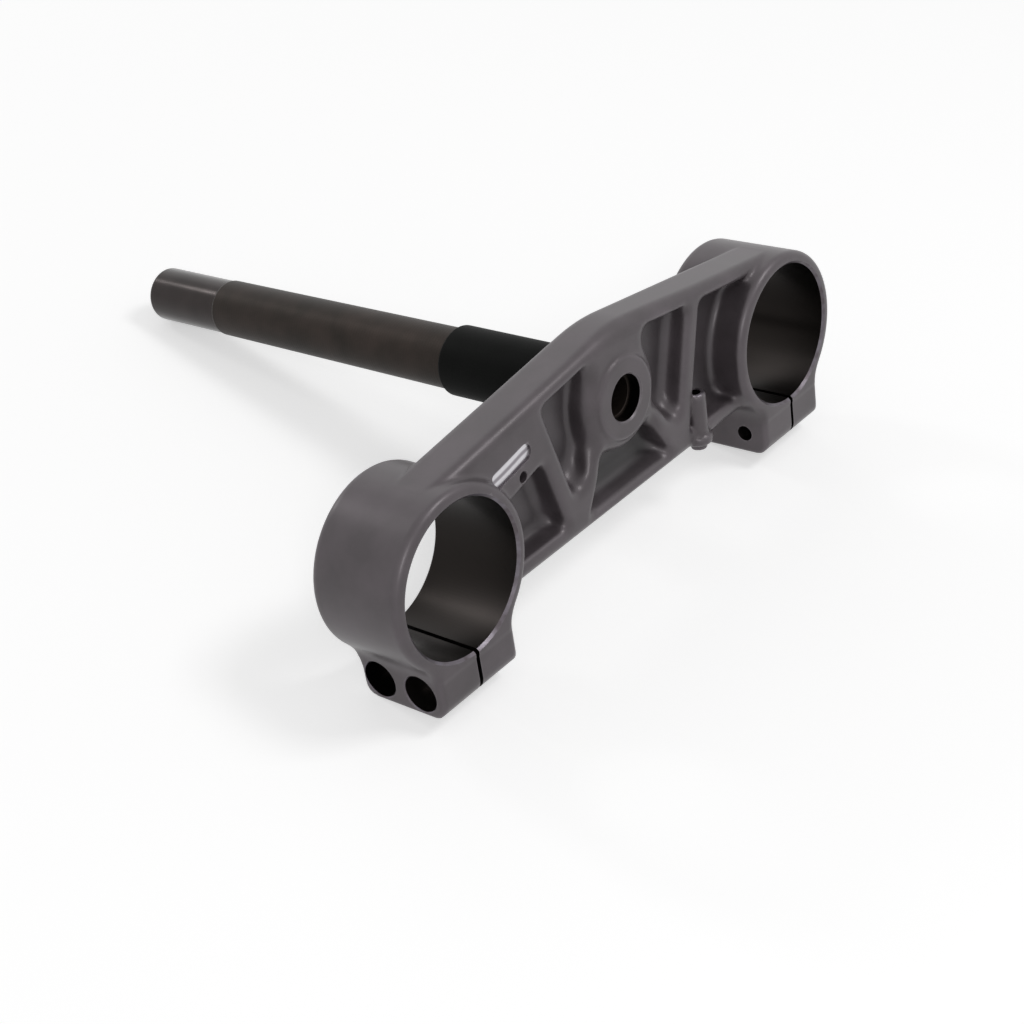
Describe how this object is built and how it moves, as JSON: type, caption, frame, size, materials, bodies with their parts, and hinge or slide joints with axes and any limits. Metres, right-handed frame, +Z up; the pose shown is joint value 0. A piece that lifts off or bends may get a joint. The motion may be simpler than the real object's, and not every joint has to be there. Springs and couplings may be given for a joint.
{
  "type": "motorcycle triple clamp",
  "caption": "Lower triple clamp of a motorcycle fork: two split fork-leg rings on a ribbed bar, with a pressed-in hollow steering stem and a black bearing sleeve at its root.",
  "frame": {"origin": "on the steering axis, in the top face of the bar, where the stem and its sleeve leave the clamp", "axes": "as it lies in the picture, on its two pinch ears and the free end of the stem. +X from the left fork ring to the right one, +Z up, +Y along the floor towards the free end of the stem. The steering axis points along +Y and 13.6 degrees down."},
  "size_m": [0.279, 0.2735, 0.099],
  "materials": {
    "clamp_metal": "satin, dark grey",
    "stem_steel": "turned, dark brown-grey",
    "sleeve_black": "blackened, satin"
  },
  "bodies": {
    "root": {"lower_clamp": "clamp_metal", "steering_stem": "stem_steel", "stem_sleeve": "sleeve_black"}
  },
  "joints": []
}
